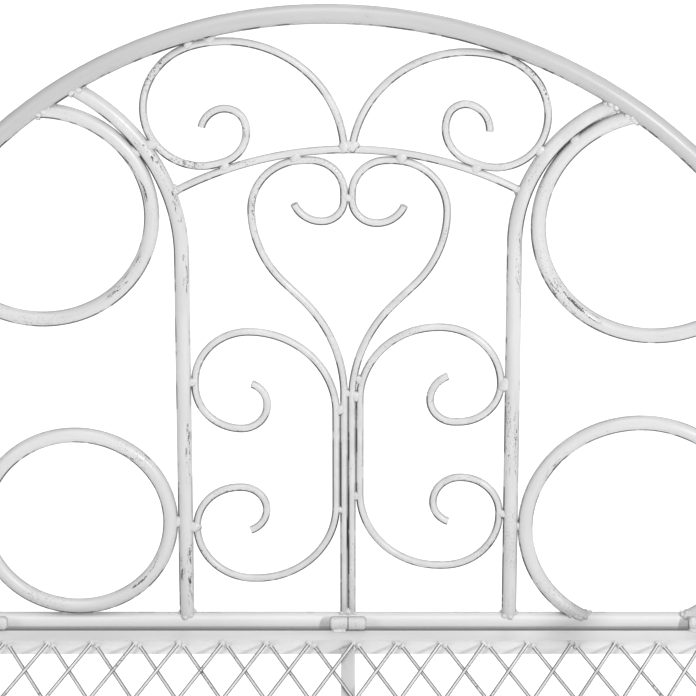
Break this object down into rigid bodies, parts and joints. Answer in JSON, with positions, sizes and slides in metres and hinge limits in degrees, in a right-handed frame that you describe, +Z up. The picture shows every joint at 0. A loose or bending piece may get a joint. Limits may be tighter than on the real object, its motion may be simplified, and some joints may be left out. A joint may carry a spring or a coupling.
{
  "type": "garden bench",
  "caption": "Metal garden bench: arched scrollwork back hinged to fold down on a wire-lattice seat, carried by tube sides that form legs and arms.",
  "frame": {"origin": "on the floor under the middle of the bench", "axes": "+Z up, +X to the right of someone who faces the bench, the sitter faces -Y"},
  "size_m": [0.9066, 0.5768, 0.9611],
  "materials": {
    "frame_paint": "satin, aged off-white",
    "scroll_paint": "satin, aged off-white",
    "lattice_paint": "satin, aged off-white",
    "hinge_paint": "satin, aged off-white",
    "pin_steel": "plain",
    "washer_brass": "plain",
    "bolt_steel": "zinc plated",
    "cap_plastic": "matt"
  },
  "bodies": {
    "seat": {"seat_rear_rail": "frame_paint", "seat_front_rail": "frame_paint", "seat_left_rail": "frame_paint", "seat_right_rail": "frame_paint", "seat_support_bar": "frame_paint", "seat_wires_upper": "lattice_paint", "seat_wires_lower": "lattice_paint", "hinge_seat_knuckles": "hinge_paint", "hinge_pins": "pin_steel", "hinge_washers": "washer_brass", "side_tube_left": "frame_paint", "side_tube_right": "frame_paint", "bearing_rail_left": "frame_paint", "bearing_rail_right": "frame_paint", "side_stretcher_left": "frame_paint", "side_stretcher_right": "frame_paint", "long_stretcher": "frame_paint", "stretcher_bushes": "bolt_steel", "stretcher_bolts": "bolt_steel", "seat_bolts": "bolt_steel", "seat_nuts": "bolt_steel", "back_stop_left": "frame_paint", "back_stop_right": "frame_paint", "front_foot_caps": "cap_plastic", "rear_foot_caps": "cap_plastic"},
    "back": {"hinge_back_knuckles": "hinge_paint", "back_bottom_rail": "frame_paint", "back_rail_plugs": "cap_plastic", "back_arch": "frame_paint", "upright_tube_left": "frame_paint", "upright_tube_right": "frame_paint", "shoulder_loop_left": "frame_paint", "shoulder_loop_right": "frame_paint", "corner_ring_left": "frame_paint", "corner_ring_right": "frame_paint", "cross_rod": "scroll_paint", "top_scroll_left": "scroll_paint", "top_scroll_right": "scroll_paint", "heart_half_left": "scroll_paint", "heart_half_right": "scroll_paint", "c_scroll_left": "scroll_paint", "c_scroll_right": "scroll_paint"}
  },
  "joints": [
    {"name": "back_fold", "type": "hinge", "parent": "seat", "child": "back", "pos_m": [0, 0.16446, 0.43408], "axis": [1, 0, 0], "range_deg": [0, 101.2]}
  ]
}
